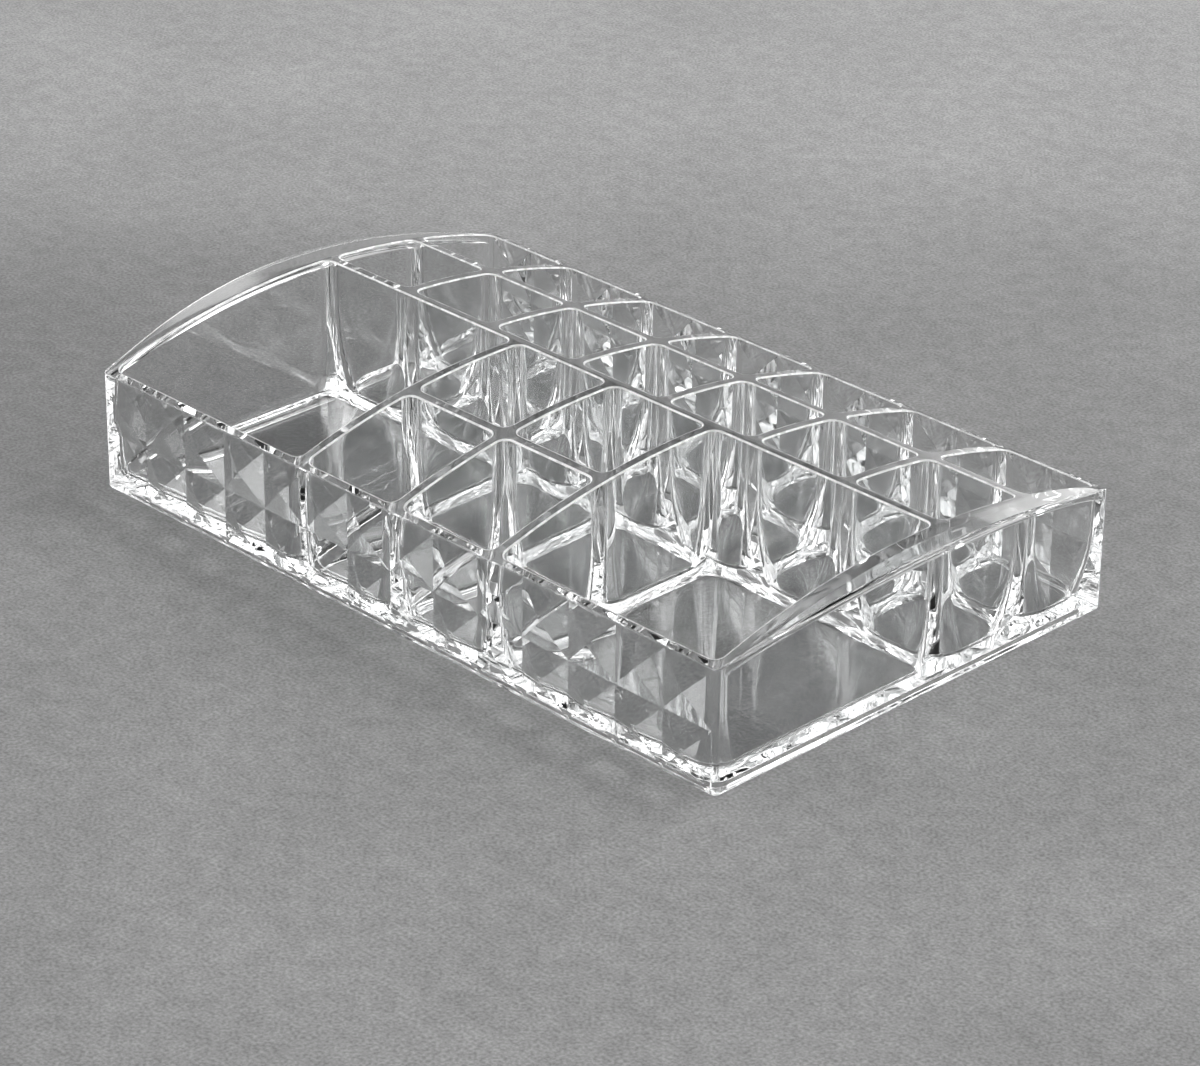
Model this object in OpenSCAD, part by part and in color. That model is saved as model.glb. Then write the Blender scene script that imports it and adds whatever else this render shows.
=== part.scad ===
// Clear vanity tray with faceted long walls, arched ends and a lattice of dividers.
// Millimetres. X runs along the tray, Y from the front wall to the back wall, Z up.
// The origin is the middle of the footprint, on the surface that the tray stands on.

/* [Tray] */
// Length between the two plain end faces
tray_l = 340; // [300:5:400]
// Width across the valleys between the facets
tray_w = 210; // [190:5:240]
// Height of the four corners
corner_h = 50; // [44:1:60]
// How far the arched tops climb above the corners
arch_rise = 16.5; // [10:0.5:20]
// Radius of the upright outer corners
corner_r = 2.5; // [1.5:0.1:3]

/* [Walls and floor] */
// Thickness of the end walls at their top
end_wall_t = 4; // [3.5:0.1:5]
// Thickness of the front and back walls behind the facets, at their top
side_wall_t = 3.6; // [3.4:0.1:5]
// Thickness of the floor panel
floor_t = 5.4; // [3.5:0.1:6]
// Height of the rim that holds the floor panel off the table
rim_h = 2; // [1.5:0.1:3.5]
// Width of the ledge on the rim that the edge of the floor panel rests on
ledge_w = 1.6; // [1:0.1:2.5]
// How far each inner face leans in from its top to its foot
draft = 0.6; // [0.2:0.1:1]
// Radius of the coves along the feet of walls and dividers
cove_r = 3.2; // [1.5:0.1:3.6]
// Radius of the upright fillets in the corners of the cells
fillet_r = 4.1; // [2.5:0.1:4.5]

/* [Facets] */
// Pyramids along one long wall
facet_cols = 14; // [10:1:18]
// Rows of pyramids
facet_rows = 2; // [1:1:3]
// How far a pyramid stands out from the wall
facet_depth = 3; // [1.5:0.1:4]
// Plain strip below the lowest row of pyramids
facet_foot = 1.3; // [0.8:0.1:2]
// Plain strip above the highest row of pyramids
facet_head = 0.8; // [0.5:0.1:1.5]

/* [Dividers] */
// Thickness of a divider at its top
divider_t = 4.4; // [3.6:0.1:5]
// Distance of the rear long divider behind the middle of the tray
rear_divider_y = 59; // [50:1:64]
// Distance of the middle long divider behind the middle of the tray
middle_divider_y = 12; // [4:1:20]
// Distance of the short front divider before the middle of the tray
front_divider_y = 46.5; // [40:0.5:54]
// Spacing of the three front cross dividers
front_pitch = 53.5; // [44:0.5:60]

/* [End handles] */
// How far a handle lip stands out of the end wall at its middle
lip_reach = 10.7; // [6:0.1:14]
// Thickness of a handle lip at the wall
lip_t = 4.6; // [4:0.1:6]
// Thickness of a handle lip at its outer edge
lip_edge_t = 3.6; // [2.5:0.1:3.9]

/* [Joints] */
// How far a tongue enters its groove
tongue_d = 1; // [0.6:0.1:1.2]
// Thickness of a tongue
tongue_t = 1.8; // [1.2:0.1:2.2]
// Clearance all round a glued joint
seat_gap = 0.05; // [0.02:0.01:0.1]

/* [Hidden] */
// Share of a crossing's height at which the two halves of a lap meet
lap_share = 0.5;
// Cells in each of the two rear rows, which the six rear cross dividers part
rear_cells = 7;
arch_fn = 360;
round_fn = 48;
clear_tint = [0.86, 0.92, 0.95, 0.6];
// Sections along the lip, round each of its corners, and points round its edge
lip_steps = 36;
corner_steps = 5;
edge_steps = 8;
// Most of the lip's width that its rounded edge may take
edge_share = 0.45;

half_l = tray_l / 2;
half_w = tray_w / 2;
crown_h = corner_h + arch_rise;
floor_top = rim_h + floor_t;
arch_r = (half_w * half_w + arch_rise * arch_rise) / (2 * arch_rise);
arch_z = crown_h - arch_r;
lip_half = half_w - corner_r;
lip_r = (lip_half * lip_half + lip_reach * lip_reach) / (2 * lip_reach);
lip_x = half_l + lip_reach - lip_r;
end_face_x = half_l - end_wall_t;
side_face_y = half_w - side_wall_t;
facet_w = (tray_l - 2 * corner_r) / facet_cols;
facet_h = (corner_h - facet_foot - facet_head) / facet_rows;
rear_pitch = (2 * end_face_x + divider_t) / rear_cells;
rear_xs = [for (i = [1 : rear_cells - 1]) (i - rear_cells / 2) * rear_pitch];
front_xs = [-front_pitch, 0, front_pitch];

// Height of the arched top at a distance y from the middle of the tray
function arch_at(y) = arch_z + sqrt(arch_r * arch_r - y * y);

// Everything below the arched top, lowered by drop
module under_arch(drop = 0) {
    translate([0, 0, arch_z])
        rotate([0, 90, 0])
            cylinder(r = arch_r - drop, h = 2 * tray_l, center = true, $fn = arch_fn);
}

// Section of a leaning panel with coves at its foot, upright in the XY plane; grow widens it all round
module panel_section(grow = 0) {
    top = divider_t / 2 + grow;
    foot = top + draft;
    base = floor_top - grow;
    knee = floor_top + cove_r;
    polygon([
        [-foot, base], [foot, base], [foot, knee],
        [top, crown_h + lip_t], [-top, crown_h + lip_t], [-foot, knee]
    ]);
    difference() {
        translate([-foot - cove_r, base])
            square([2 * (foot + cove_r), knee - base]);
        for (side = [-1, 1])
            translate([side * (foot - grow + cove_r), knee])
                circle(r = cove_r - grow, $fn = round_fn);
    }
}

// Section of a wall's inner half, with the ledge, the cove and the lean on the +X side of the outer face
module wall_section(thick, top_z) {
    foot = thick + draft;
    knee = floor_top + cove_r;
    ledge = foot + ledge_w;
    polygon([
        [0, 0], [ledge, 0], [ledge, rim_h - seat_gap], [foot, rim_h - seat_gap],
        [foot, knee], [thick, top_z], [0, top_z]
    ]);
    difference() {
        translate([foot, floor_top + seat_gap])
            square([cove_r, cove_r - seat_gap]);
        translate([foot + cove_r, knee])
            circle(r = cove_r, $fn = round_fn);
    }
}

// Plan of the two fillets where a divider meets a face, which lies at Y = 0 with the divider on +Y
module fillet_plan(half, grow = 0) {
    difference() {
        translate([-half - fillet_r, -half])
            square([2 * (half + fillet_r), half + fillet_r]);
        for (side = [-1, 1])
            translate([side * (half + fillet_r), fillet_r])
                circle(r = fillet_r - grow, $fn = round_fn);
    }
}

// Upright fillets of a divider that runs to +Y from a face at the origin
module fillets(grow = 0) {
    translate([0, 0, floor_top - grow])
        linear_extrude(height = crown_h)
            fillet_plan(divider_t / 2 + grow, grow);
}

// Stopped tongue at a divider's end, from the plane Y = 0 back towards +Y
module tongue(length, top_z, grow = 0) {
    wide = tongue_t + 2 * grow;
    translate([-wide / 2, -tongue_d - grow, floor_top + cove_r - grow])
        cube([wide, length + tongue_d + grow, top_z - floor_top - 2 * cove_r - divider_t + 2 * grow]);
}

// Untrimmed long divider
module long_blank(y, x0, x1, grow = 0) {
    intersection() {
        under_arch(-grow);
        translate([x0, y, 0])
            rotate([90, 0, 90])
                linear_extrude(height = x1 - x0)
                    panel_section(grow);
    }
}

// Untrimmed cross divider, with fillets at the faces that it meets
module cross_blank(x, y0, y1, low_faces, high_faces, grow = 0) {
    intersection() {
        under_arch(-grow);
        union() {
            translate([x, y1, 0])
                rotate([90, 0, 0])
                    linear_extrude(height = y1 - y0)
                        panel_section(grow);
            for (y = low_faces)
                translate([x, y, 0])
                    fillets(grow);
            for (y = high_faces)
                translate([x, y, 0])
                    rotate(180)
                        fillets(grow);
        }
    }
}

// Level at which two dividers lap where they cross at a distance y from the middle
function lap_level(y) = floor_top + (arch_at(y) - floor_top) * lap_share;

// Part of a solid above the lap, less the clearance
module above_lap(y) {
    intersection() {
        children();
        translate([-tray_l, -tray_w, lap_level(y) - seat_gap])
            cube([2 * tray_l, 2 * tray_w, crown_h]);
    }
}

// Part of a solid below the lap
module below_lap(y) {
    intersection() {
        children();
        translate([-tray_l, -tray_w, 0])
            cube([2 * tray_l, 2 * tray_w, lap_level(y)]);
    }
}

// Space that a long wall fills, seen from the inside, with its lean and cove
module side_wall_space(side, grow = 0) {
    mirror([0, side > 0 ? 1 : 0, 0])
        translate([-half_l, -half_w - facet_depth, 0])
            rotate([90, 0, 90])
                linear_extrude(height = tray_l)
                    wall_section(side_wall_t + facet_depth + grow, crown_h + lip_t);
}

// Space that an end wall fills, seen from the inside
module end_wall_space(side, grow = 0) {
    mirror([side > 0 ? 1 : 0, 0, 0])
        translate([-half_l, half_w, 0])
            rotate([90, 0, 0])
                linear_extrude(height = tray_w)
                    wall_section(end_wall_t + grow, crown_h + lip_t);
}

module rear_blank(x, grow = 0) {
    cross_blank(
        x, middle_divider_y, half_w,
        [middle_divider_y + divider_t / 2, rear_divider_y + divider_t / 2],
        [rear_divider_y - divider_t / 2, side_face_y], grow);
}

module front_blank(x, faces, grow = 0) {
    cross_blank(
        x, -half_w, middle_divider_y,
        [-side_face_y, for (y = faces) y + divider_t / 2],
        [middle_divider_y - divider_t / 2, for (y = faces) y - divider_t / 2], grow);
}

// Tongues of a divider along Y, at the faces of the long walls and of the middle divider
module back_tongue(x, grow = 0) {
    translate([x, side_face_y, 0])
        rotate(180)
            tongue(divider_t, corner_h, grow);
}

module front_tongue(x, grow = 0) {
    translate([x, -side_face_y, 0])
        tongue(divider_t, corner_h, grow);
}

module middle_rear_tongue(x, grow = 0) {
    translate([x, middle_divider_y + divider_t / 2, 0])
        tongue(divider_t, arch_at(middle_divider_y), grow);
}

module middle_front_tongue(x, grow = 0) {
    translate([x, middle_divider_y - divider_t / 2, 0])
        rotate(180)
            tongue(divider_t, arch_at(middle_divider_y), grow);
}

// Tongue of a divider along X, in a face at x, with the divider on the side of the tray's middle
module end_tongue(x, y, grow = 0) {
    translate([x, y, 0])
        rotate(x > 0 ? 90 : -90)
            tongue(divider_t, arch_at(y) - lip_t, grow);
}

module rear_cross_divider(i) {
    x = rear_xs[i];
    color(clear_tint) {
        difference() {
            rear_blank(x);
            long_blank(middle_divider_y, -half_l, half_l, seat_gap);
            side_wall_space(1, seat_gap);
            above_lap(rear_divider_y)
                long_blank(rear_divider_y, -half_l, half_l, seat_gap);
        }
        back_tongue(x);
        middle_rear_tongue(x);
    }
}

module front_cross_divider(i) {
    x = front_xs[i];
    middle = i == 1;
    color(clear_tint) {
        difference() {
            front_blank(x, middle ? [-front_divider_y] : []);
            long_blank(middle_divider_y, -half_l, half_l, seat_gap);
            side_wall_space(-1, seat_gap);
            if (middle)
                above_lap(-front_divider_y)
                    long_blank(-front_divider_y, -front_pitch, front_pitch, seat_gap);
            else
                end_tongue(x - sign(x) * divider_t / 2, -front_divider_y, seat_gap);
        }
        front_tongue(x);
        middle_front_tongue(x);
    }
}

// Upright fillets at the two ends of a divider along X
module end_fillets(y, face_x) {
    intersection() {
        under_arch();
        for (side = [-1, 1])
            translate([side * face_x, y, 0])
                rotate(side * 90)
                    fillets();
    }
}

module rear_long_divider() {
    color(clear_tint) {
        difference() {
            union() {
                long_blank(rear_divider_y, -half_l, half_l);
                end_fillets(rear_divider_y, end_face_x);
            }
            for (side = [-1, 1])
                end_wall_space(side, seat_gap);
            for (x = rear_xs)
                below_lap(rear_divider_y)
                    rear_blank(x, seat_gap);
        }
        for (side = [-1, 1])
            end_tongue(side * end_face_x, rear_divider_y);
    }
}

module middle_long_divider() {
    color(clear_tint) {
        difference() {
            union() {
                long_blank(middle_divider_y, -half_l, half_l);
                end_fillets(middle_divider_y, end_face_x);
            }
            for (side = [-1, 1])
                end_wall_space(side, seat_gap);
            for (x = rear_xs)
                middle_rear_tongue(x, seat_gap);
            for (x = front_xs)
                middle_front_tongue(x, seat_gap);
        }
        for (side = [-1, 1])
            end_tongue(side * end_face_x, middle_divider_y);
    }
}

module front_short_divider() {
    face_x = front_pitch - divider_t / 2;
    color(clear_tint) {
        difference() {
            union() {
                long_blank(-front_divider_y, -front_pitch, front_pitch);
                end_fillets(-front_divider_y, face_x);
            }
            for (x = [-front_pitch, front_pitch])
                front_blank(x, [], seat_gap);
            below_lap(-front_divider_y)
                front_blank(0, [-front_divider_y], seat_gap);
        }
        for (side = [-1, 1])
            end_tongue(side * face_x, -front_divider_y);
    }
}

// Edge of the floor panel that enters the walls
module floor_blank(grow = 0) {
    edge_t = floor_t / 2 + 2 * grow;
    reach = tongue_d + grow;
    long = 2 * (end_face_x - draft + reach);
    wide = 2 * (side_face_y - draft + reach);
    translate([-long / 2, -wide / 2, rim_h + floor_t / 4 - grow])
        cube([long, wide, edge_t]);
}

module floor_panel() {
    long = 2 * (end_face_x - draft - seat_gap);
    wide = 2 * (side_face_y - draft - seat_gap);
    color(clear_tint) {
        translate([-long / 2, -wide / 2, rim_h])
            cube([long, wide, floor_t - seat_gap]);
        floor_blank();
    }
}

// Row of ridges along X whose crests stand facet_depth in front of Y = 0
module ridges_along(pitch, count, length) {
    linear_extrude(height = length)
        polygon([
            [0, facet_depth],
            for (i = [0 : count - 1]) each [[i * pitch, 0], [(i + 1 / 2) * pitch, -facet_depth]],
            [count * pitch, 0],
            [count * pitch, facet_depth]
        ]);
}

// Field of square pyramids on the front wall: two crossed rows of ridges, kept where both are solid
module facet_field() {
    translate([-half_l + corner_r, -half_w, facet_foot])
        intersection() {
            ridges_along(facet_w, facet_cols, facet_rows * facet_h);
            translate([facet_cols * facet_w, 0, 0])
                rotate([0, -90, 0])
                    ridges_along(facet_h, facet_rows, facet_cols * facet_w);
        }
}

// The tray's plan outline, with rounded corners
module outline() {
    square([tray_l, tray_w - 2 * corner_r], center = true);
    square([tray_l - 2 * corner_r, tray_w], center = true);
    for (sx = [-1, 1], sy = [-1, 1])
        translate([sx * (half_l - corner_r), sy * (half_w - corner_r)])
            circle(r = corner_r, $fn = round_fn);
}

// Space over an end wall that a handle lip fills inside the tray's outline
module lip_seat(side) {
    low = arch_at(half_w) - lip_t;
    mirror([side > 0 ? 1 : 0, 0, 0])
        difference() {
            translate([-tray_l, -tray_w, low - lip_t])
                cube([tray_l - end_face_x + seat_gap, 2 * tray_w, 2 * crown_h]);
            under_arch(lip_t + seat_gap);
        }
}

// Front wall before its grooves, in place at -Y
module side_wall_blank() {
    intersection() {
        under_arch();
        union() {
            intersection() {
                linear_extrude(height = 2 * crown_h)
                    outline();
                translate([-half_l, -half_w, 0])
                    rotate([90, 0, 90])
                        linear_extrude(height = tray_l)
                            wall_section(side_wall_t, crown_h);
            }
            facet_field();
        }
    }
}

// Tongue at one end of an end wall, in the groove of a long wall
module corner_tongue(side_x, side_y, grow = 0) {
    wide = tongue_t + 2 * grow;
    low = facet_foot - grow;
    translate([
        side_x * (half_l - end_wall_t / 2) - wide / 2,
        side_y > 0 ? side_face_y - divider_t : -side_face_y - tongue_d - grow,
        low
    ])
        cube([wide, divider_t + tongue_d + grow, corner_h - 2 * lip_t - low]);
}

// Long wall with every groove, in place at -Y: xs are the dividers that end in it
module side_wall(xs) {
    difference() {
        side_wall_blank();
        floor_blank(seat_gap);
        for (x = xs)
            front_tongue(x, seat_gap);
        for (side = [-1, 1]) {
            lip_seat(side);
            corner_tongue(side, -1, seat_gap);
        }
    }
}

module front_facet_wall() {
    color(clear_tint)
        side_wall(front_xs);
}

module back_facet_wall() {
    color(clear_tint)
        mirror([0, 1, 0])
            side_wall(rear_xs);
}

// Upright fillets between the end wall at -X and the two long walls
module corner_fillets() {
    translate([-end_face_x, 0, floor_top + seat_gap])
        linear_extrude(height = crown_h)
            for (side = [-1, 1])
                scale([1, side])
                    difference() {
                        translate([-draft, side_face_y - fillet_r])
                            square([draft + fillet_r, fillet_r]);
                        translate([fillet_r, side_face_y - fillet_r])
                            circle(r = fillet_r, $fn = round_fn);
                    }
}

// Ridge along the top of the end wall at -X, which the handle lip's groove takes
module lip_ridge(grow = 0) {
    long = 2 * (side_face_y - lip_t + grow);
    intersection() {
        under_arch(lip_t - tongue_d - grow);
        translate([-half_l + (end_wall_t - tongue_t) / 2 - grow, -long / 2, floor_top])
            cube([tongue_t + 2 * grow, long, crown_h]);
    }
}

// End wall at -X, its ends cut to the lean and cove of the long walls
module end_wall() {
    difference() {
        union() {
            difference() {
                intersection() {
                    under_arch(lip_t);
                    union() {
                        translate([-half_l, side_face_y, 0])
                            rotate([90, 0, 0])
                                linear_extrude(height = 2 * side_face_y)
                                    wall_section(end_wall_t, crown_h);
                        corner_fillets();
                    }
                }
                for (side = [-1, 1])
                    side_wall_space(side, seat_gap);
            }
            lip_ridge();
            for (side = [-1, 1])
                corner_tongue(-1, side);
        }
        floor_blank(seat_gap);
        for (y = [rear_divider_y, middle_divider_y])
            end_tongue(-end_face_x, y, seat_gap);
    }
}

module left_end_wall() {
    color(clear_tint)
        end_wall();
}

module right_end_wall() {
    color(clear_tint)
        mirror([1, 0, 0])
            end_wall();
}

// Distances from the middle of the tray at which the lip's section is drawn
function lip_stations() = concat(
    [for (i = [0 : corner_steps - 1]) -lip_half - corner_r * cos(90 * i / corner_steps)],
    [for (i = [0 : lip_steps]) -lip_half + 2 * lip_half * i / lip_steps],
    [for (i = [corner_steps - 1 : -1 : 0]) lip_half + corner_r * cos(90 * i / corner_steps)]
);

// How far the lip's edge lies from the middle of the tray along X
function lip_edge_x(y) =
    abs(y) > lip_half
        ? half_l - corner_r + sqrt(max(0, corner_r * corner_r - pow(abs(y) - lip_half, 2)))
        : lip_x + sqrt(lip_r * lip_r - y * y);

// Section of the lip at one station: flat against the wall, thinner and rounded at its edge
function lip_section(y) =
    let (
        top = arch_at(y),
        edge = lip_edge_x(y),
        round_r = min(lip_edge_t / 2, (edge - end_face_x) * edge_share),
        mid = top - lip_t / 2
    )
    concat(
        [[-end_face_x, y, top], [-end_face_x, y, top - lip_t]],
        [for (k = [0 : edge_steps])
            let (a = -90 + 180 * k / edge_steps)
            [-(edge - round_r + round_r * cos(a)), y, mid + round_r * sin(a)]]
    );

// Handle lip at -X, lofted through its sections, with the groove for the wall's ridge
module handle_lip() {
    ys = lip_stations();
    per = edge_steps + 3;
    last = len(ys) - 1;
    difference() {
        polyhedron(
            points = [for (y = ys) each lip_section(y)],
            faces = concat(
                [[for (k = [0 : per - 1]) k]],
                [[for (k = [per - 1 : -1 : 0]) last * per + k]],
                [for (i = [0 : last - 1], k = [0 : per - 1])
                    let (a = i * per + k, b = i * per + (k + 1) % per)
                    each [[a, a + per, b], [b, a + per, b + per]]]
            ));
        lip_ridge(seat_gap);
    }
}

module left_handle_lip() {
    color(clear_tint)
        handle_lip();
}

module right_handle_lip() {
    color(clear_tint)
        mirror([1, 0, 0])
            handle_lip();
}

floor_panel();
front_facet_wall();
back_facet_wall();
left_end_wall();
right_end_wall();
left_handle_lip();
right_handle_lip();
rear_long_divider();
middle_long_divider();
front_short_divider();
rear_cross_divider(0);  // rear_cross_divider_1
rear_cross_divider(1);  // rear_cross_divider_2
rear_cross_divider(2);  // rear_cross_divider_3
rear_cross_divider(3);  // rear_cross_divider_4
rear_cross_divider(4);  // rear_cross_divider_5
rear_cross_divider(5);  // rear_cross_divider_6
front_cross_divider(0);  // front_cross_divider_1
front_cross_divider(1);  // front_cross_divider_2
front_cross_divider(2);  // front_cross_divider_3
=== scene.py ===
import math
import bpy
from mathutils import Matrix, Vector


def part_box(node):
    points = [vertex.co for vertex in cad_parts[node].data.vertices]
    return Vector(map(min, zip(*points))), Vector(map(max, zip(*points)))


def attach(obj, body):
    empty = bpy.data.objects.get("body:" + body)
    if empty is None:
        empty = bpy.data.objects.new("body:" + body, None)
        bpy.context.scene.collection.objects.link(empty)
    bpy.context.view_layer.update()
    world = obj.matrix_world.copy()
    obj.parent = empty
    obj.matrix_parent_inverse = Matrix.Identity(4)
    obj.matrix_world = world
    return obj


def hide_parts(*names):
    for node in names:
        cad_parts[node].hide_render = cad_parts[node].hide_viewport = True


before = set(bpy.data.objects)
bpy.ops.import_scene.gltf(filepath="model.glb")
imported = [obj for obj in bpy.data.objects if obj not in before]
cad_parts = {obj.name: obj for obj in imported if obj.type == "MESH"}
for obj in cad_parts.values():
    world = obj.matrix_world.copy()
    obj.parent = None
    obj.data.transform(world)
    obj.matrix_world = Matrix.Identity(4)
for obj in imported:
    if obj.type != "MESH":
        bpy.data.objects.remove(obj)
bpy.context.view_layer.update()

from types import SimpleNamespace

import bmesh
import bpy
from bpy.props import FloatProperty, FloatVectorProperty, IntProperty, PointerProperty
from mathutils import Vector

bl_info = {
    "name": "Clear vanity tray",
    "version": (1, 0, 0),
    "blender": (4, 5, 0),
    "location": "3D View > Sidebar > Tray",
    "description": "Builds the faceted tray and its dividers in clear moulded plastic",
    "category": "Object",
}

REAR_CROSS = ["rear_cross_divider_%d" % number for number in range(1, 7)]
FRONT_CROSS = ["front_cross_divider_%d" % number for number in range(1, 4)]
FLAT_NAME = "flat_moulding"
# Corner attribute that carries the smooth normals of the flat moulding
NORMALS = "true_normal"
# Face attribute of the squares that become pyramids
FACET_TAG = "facet"
# Material numbers of the closed cuts and of the brims on every piece; the brims' white is a painted
# highlight
SEAM = 1
BRIM = 2

# Steps of each rounded edge
CELL_CORNER_STEPS = 6
BRIM_STEPS = 4
COVE_STEPS = 5
UNDERSIDE_COVE_STEPS = 4
OUTER_CORNER_STEPS = 5
LIP_STEPS = 6
TOP_EDGE_STEPS = 3
FOOT_EDGE_STEPS = 2
# Steps of a cell's wall from the top down, and how far its corners have widened after each
WALL_STEPS = (0.4, 0.18, 0.16, 0.14, 0.12)
CORNER_GROWTH = (0.0, 0.1, 0.32, 0.64, 1.0)
# Share of the thickness of a lip's outer edge that is rounded
LIP_ROUND_SHARE = 0.97
# Cove and draft on the underside, as shares of those in the cells
UNDERSIDE_COVE_SHARE = 0.25
UNDERSIDE_DRAFT_SHARE = 1 / 3
# Depth under the tops that follows the arch without being squeezed
CAP = 0.008
# Outer rim of a lip that follows the crescent unsqueezed, and most of the lip that it may take
LIP_RIM = 0.0022
LIP_RIM_SHARE = 0.8
# Share of a crossing's height at which the halves of a lap meet
LAP_SHARE = 0.5
# Width of the slices in which a piece is bent
SLICE = 0.005
# Distance between a cut and the widest corner or the floor beside it
CUT_MARGIN = 0.0003
FLOOR_MARGIN = 0.00005

# Faces that meet at less than this angle are shaded as one curve
SMOOTH_ANGLE = math.radians(42)
# Lengths under which points and cuts are one
TINY = 1e-6
HAIR = 1e-7
# Step over which the slope of the bend is taken, and share of its area under which it is folded
STEP = 1e-5
FOLDED = 0.01
# A face looks along an axis where its normal's share of that axis is over this
FLAT = 0.99
# A stored normal shorter than this stands for the face's own
NO_NORMAL = 0.5

# How far the waves are drawn out along upright faces, and how fine and soft they are
WAVE_STRETCH = 0.35
WAVE_DETAIL = 1
WAVE_ROUGHNESS = 0.4
# Noise scale and detail of rub marks and of the wear-like mottle in the brims' painted highlight, and
# the part of the noise that shows as such
RUB_NOISE = (260, 3)
RUB_RANGE = (0.62, 0.8)
WEAR_AND_HIGHLIGHT_NOISE = (160, 2)
WEAR_AND_HIGHLIGHT_RANGE = (0.35, 0.6)
# Tone and roughness of a brim from one end of that range to the other; its near-white tone is a painted
# highlight
BRIM_HIGHLIGHT_TONE = (0.7, 1.0)
BRIM_ROUGHNESS = (0.1, 0.4)

# Heights, as sines of the angle over the table, between which the tent's light keeps one level
LEVELS = ((0.0, 0.24), (0.29, 0.36), (0.4, 0.5), (0.55, 0.72), (0.8, 1.0))
# Tent's light at those levels, as shares of its strength, where no direction below covers it
LEFT_LIGHT = (0.7, 0.35, 0.6, 0.25, 0.01)
# The same in single directions, each given with its half width, in degrees
TENT = (
    (45, 45, (0.7, 0.6, 0.4, 0.3, 0.01)),
    (315, 45, (0.5, 0.1, 0.1, 0.02, 0.01)),
    (108, 18, (0.5, 0.7, 0.05, 0.05, 0.01)),
    (135.5, 9.5, (0.12, 0.15, 0.01, 0.05, 0.01)),
    (162.5, 17.5, (1.0, 0.8, 0.6, 0.1, 0.01)),
)
# Blur of the borders between those directions, in degrees
TENT_BLUR = 3
# Places and sizes of the two lamps, which look at the tray's middle
SOFTBOX_PLACE = (0.283, 1.056, 1.302)
SOFTBOX_SIZE = (1.0, 0.5)
LEFT_SOFTBOX_PLACE = (-1.082, -0.152, 1.302)
LEFT_SOFTBOX_SIZE = (0.6, 0.4)

# Clouds, mottling and grain of the paper: noise scale, noise detail and spread of the tone
PAPER_NOISE = ((9, 5, 0.08), (110, 3, 0.09), (750, 3, 0.27))
NOISE_RANGE = (0.3, 0.7)
# Direction on the paper away from the camera, and the middle of the painted shadow left of the tray
AWAY = (-0.713, 0.701, 0)
PAINTED_SHADOW_SPOT = (-0.27, -0.05, 0)
# Painted shade and light on the paper: where its tone changes, along that direction or away from that
# place, and its tones there; darker behind the tray and round that place as painted shadow, lighter far
# back as painted light
PAINTED_SHADE_BEHIND_TRAY = ((-0.15, 0.1), (0.95, 0.84))
PAINTED_LIGHT_TOWARD_BACK = ((0.21, 0.5), (1.0, 1.35))
PAINTED_SHADOW_FADE = ((0.04, 0.2), (0.85, 1.0))
PAPER_ROUGHNESS = 0.9
PAPER_SPECULAR = 0.2
# Half width of the paper, and how far it lies under the tray's foot
PAPER_HALF = 6
PAPER_DROP = 0.0001

# Camera fitted to the photograph, its lens and sensor in millimetres and its turn in radians
LENS = 128.71
SENSOR = 36
CLIP = (0.05, 50)
EYE = (1.06634, -1.04738, 0.75560)
EYE_TURN = (1.10549, -0.0112, 0.7978)


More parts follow.
